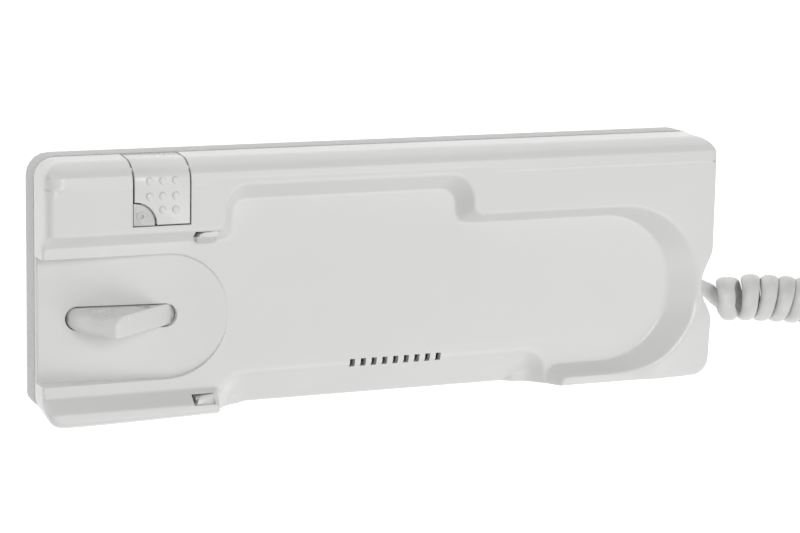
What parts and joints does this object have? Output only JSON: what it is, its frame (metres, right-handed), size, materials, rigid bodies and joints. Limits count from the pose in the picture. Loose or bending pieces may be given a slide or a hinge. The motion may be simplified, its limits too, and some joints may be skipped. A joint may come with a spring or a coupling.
{
  "type": "slimline wall phone",
  "caption": "Slim wall base of an entry phone: handset trough with scalloped edge, sprung hook lever, door release key, wall plate, circuit board and curly handset cord with plug.",
  "frame": {"origin": "middle of the wall plate's back face, the face that goes against the wall; the part lies on it", "axes": "+X along the length from the ear end to the mouth end where the cord leaves, +Y across towards the door release key, +Z out of the front"},
  "size_m": [0.3435, 0.0891, 0.0277],
  "materials": {
    "cover_plastic": "moulded ABS, light grey, polished",
    "plate_plastic": "moulded ABS, light grey, satin",
    "key_plastic": "moulded ABS, light grey, polished",
    "steel": "zinc plated",
    "black_plastic": "moulded, black",
    "plunger_plastic": "moulded acetal, natural",
    "board": "glass epoxy with solder mask",
    "core_steel": "laminated, varnished",
    "copper": "enamelled copper winding",
    "terminal_plastic": "moulded nylon, green",
    "sleeve": "shrink sleeve, blue",
    "lacquer": "lacquered, tan",
    "cord": "flexible PVC, white",
    "plug_plastic": "clear polycarbonate",
    "gold": "gold plated"
  },
  "bodies": {
    "housing": {"front_cover": "cover_plastic", "wall_plate": "plate_plastic", "key_symbol_tile": "key_plastic", "lever_pin": "steel", "lever_spring": "steel", "door_switch_body": "black_plastic", "hook_switch_body": "black_plastic", "button_spring": "steel", "circuit_board": "board", "board_screw_1": "steel", "board_screw_2": "steel", "board_screw_3": "steel", "board_screw_4": "steel", "sounder": "black_plastic", "transformer_core": "core_steel", "transformer_winding": "copper", "terminal_block": "terminal_plastic", "terminal_screw_1": "steel", "terminal_screw_2": "steel", "terminal_screw_3": "steel", "terminal_screw_4": "steel", "terminal_screw_5": "steel", "audio_chip": "black_plastic", "capacitor_1": "sleeve", "capacitor_2": "sleeve", "capacitor_3": "sleeve", "resistor_1": "lacquer", "resistor_2": "lacquer", "resistor_3": "lacquer", "resistor_4": "lacquer", "volume_trimmer": "sleeve", "trimmer_rotor": "lacquer", "handset_jack": "black_plastic", "cord_lead": "cord", "cord_curl": "cord", "cord_tail": "cord", "inner_plug": "plug_plastic", "inner_plug_contact_1": "gold", "inner_plug_contact_2": "gold", "inner_plug_contact_3": "gold", "inner_plug_contact_4": "gold", "cord_plug": "plug_plastic", "cord_plug_contact_1": "gold", "cord_plug_contact_2": "gold", "cord_plug_contact_3": "gold", "cord_plug_contact_4": "gold"},
    "door_key": {"door_release_button": "key_plastic"},
    "door_plunger": {"door_switch_plunger": "plunger_plastic"},
    "hook": {"hook_lever": "key_plastic"},
    "hook_plunger": {"hook_switch_plunger": "plunger_plastic"}
  },
  "joints": [
    {"name": "door_key_press", "type": "hinge", "parent": "housing", "child": "door_key", "pos_m": [-0.0747, 0.036, 0.019], "axis": [1, 0, 0], "range_deg": [0, 4], "stiffness_Nm_per_rad": 0.05, "springref_deg": -2.86, "deforming": ["button_spring"]},
    {"name": "door_plunger_slide", "type": "slide", "parent": "housing", "child": "door_plunger", "axis": [0, 0, -1], "range_m": [0, 0.001]},
    {"name": "hook_lever_press", "type": "hinge", "parent": "housing", "child": "hook", "pos_m": [-0.065, -0.0102, 0.0093], "axis": [0, -1, 0], "range_deg": [0, 11], "stiffness_Nm_per_rad": 0.02, "springref_deg": -17.19},
    {"name": "hook_plunger_slide", "type": "slide", "parent": "housing", "child": "hook_plunger", "axis": [0, 0, 1], "range_m": [0, 0.0016]}
  ],
  "couplings": [
    {"joint": "door_plunger_slide", "follows": "door_key_press", "m_per_rad": 0.0127},
    {"joint": "hook_plunger_slide", "follows": "hook_lever_press", "m_per_rad": 0.0078}
  ]
}
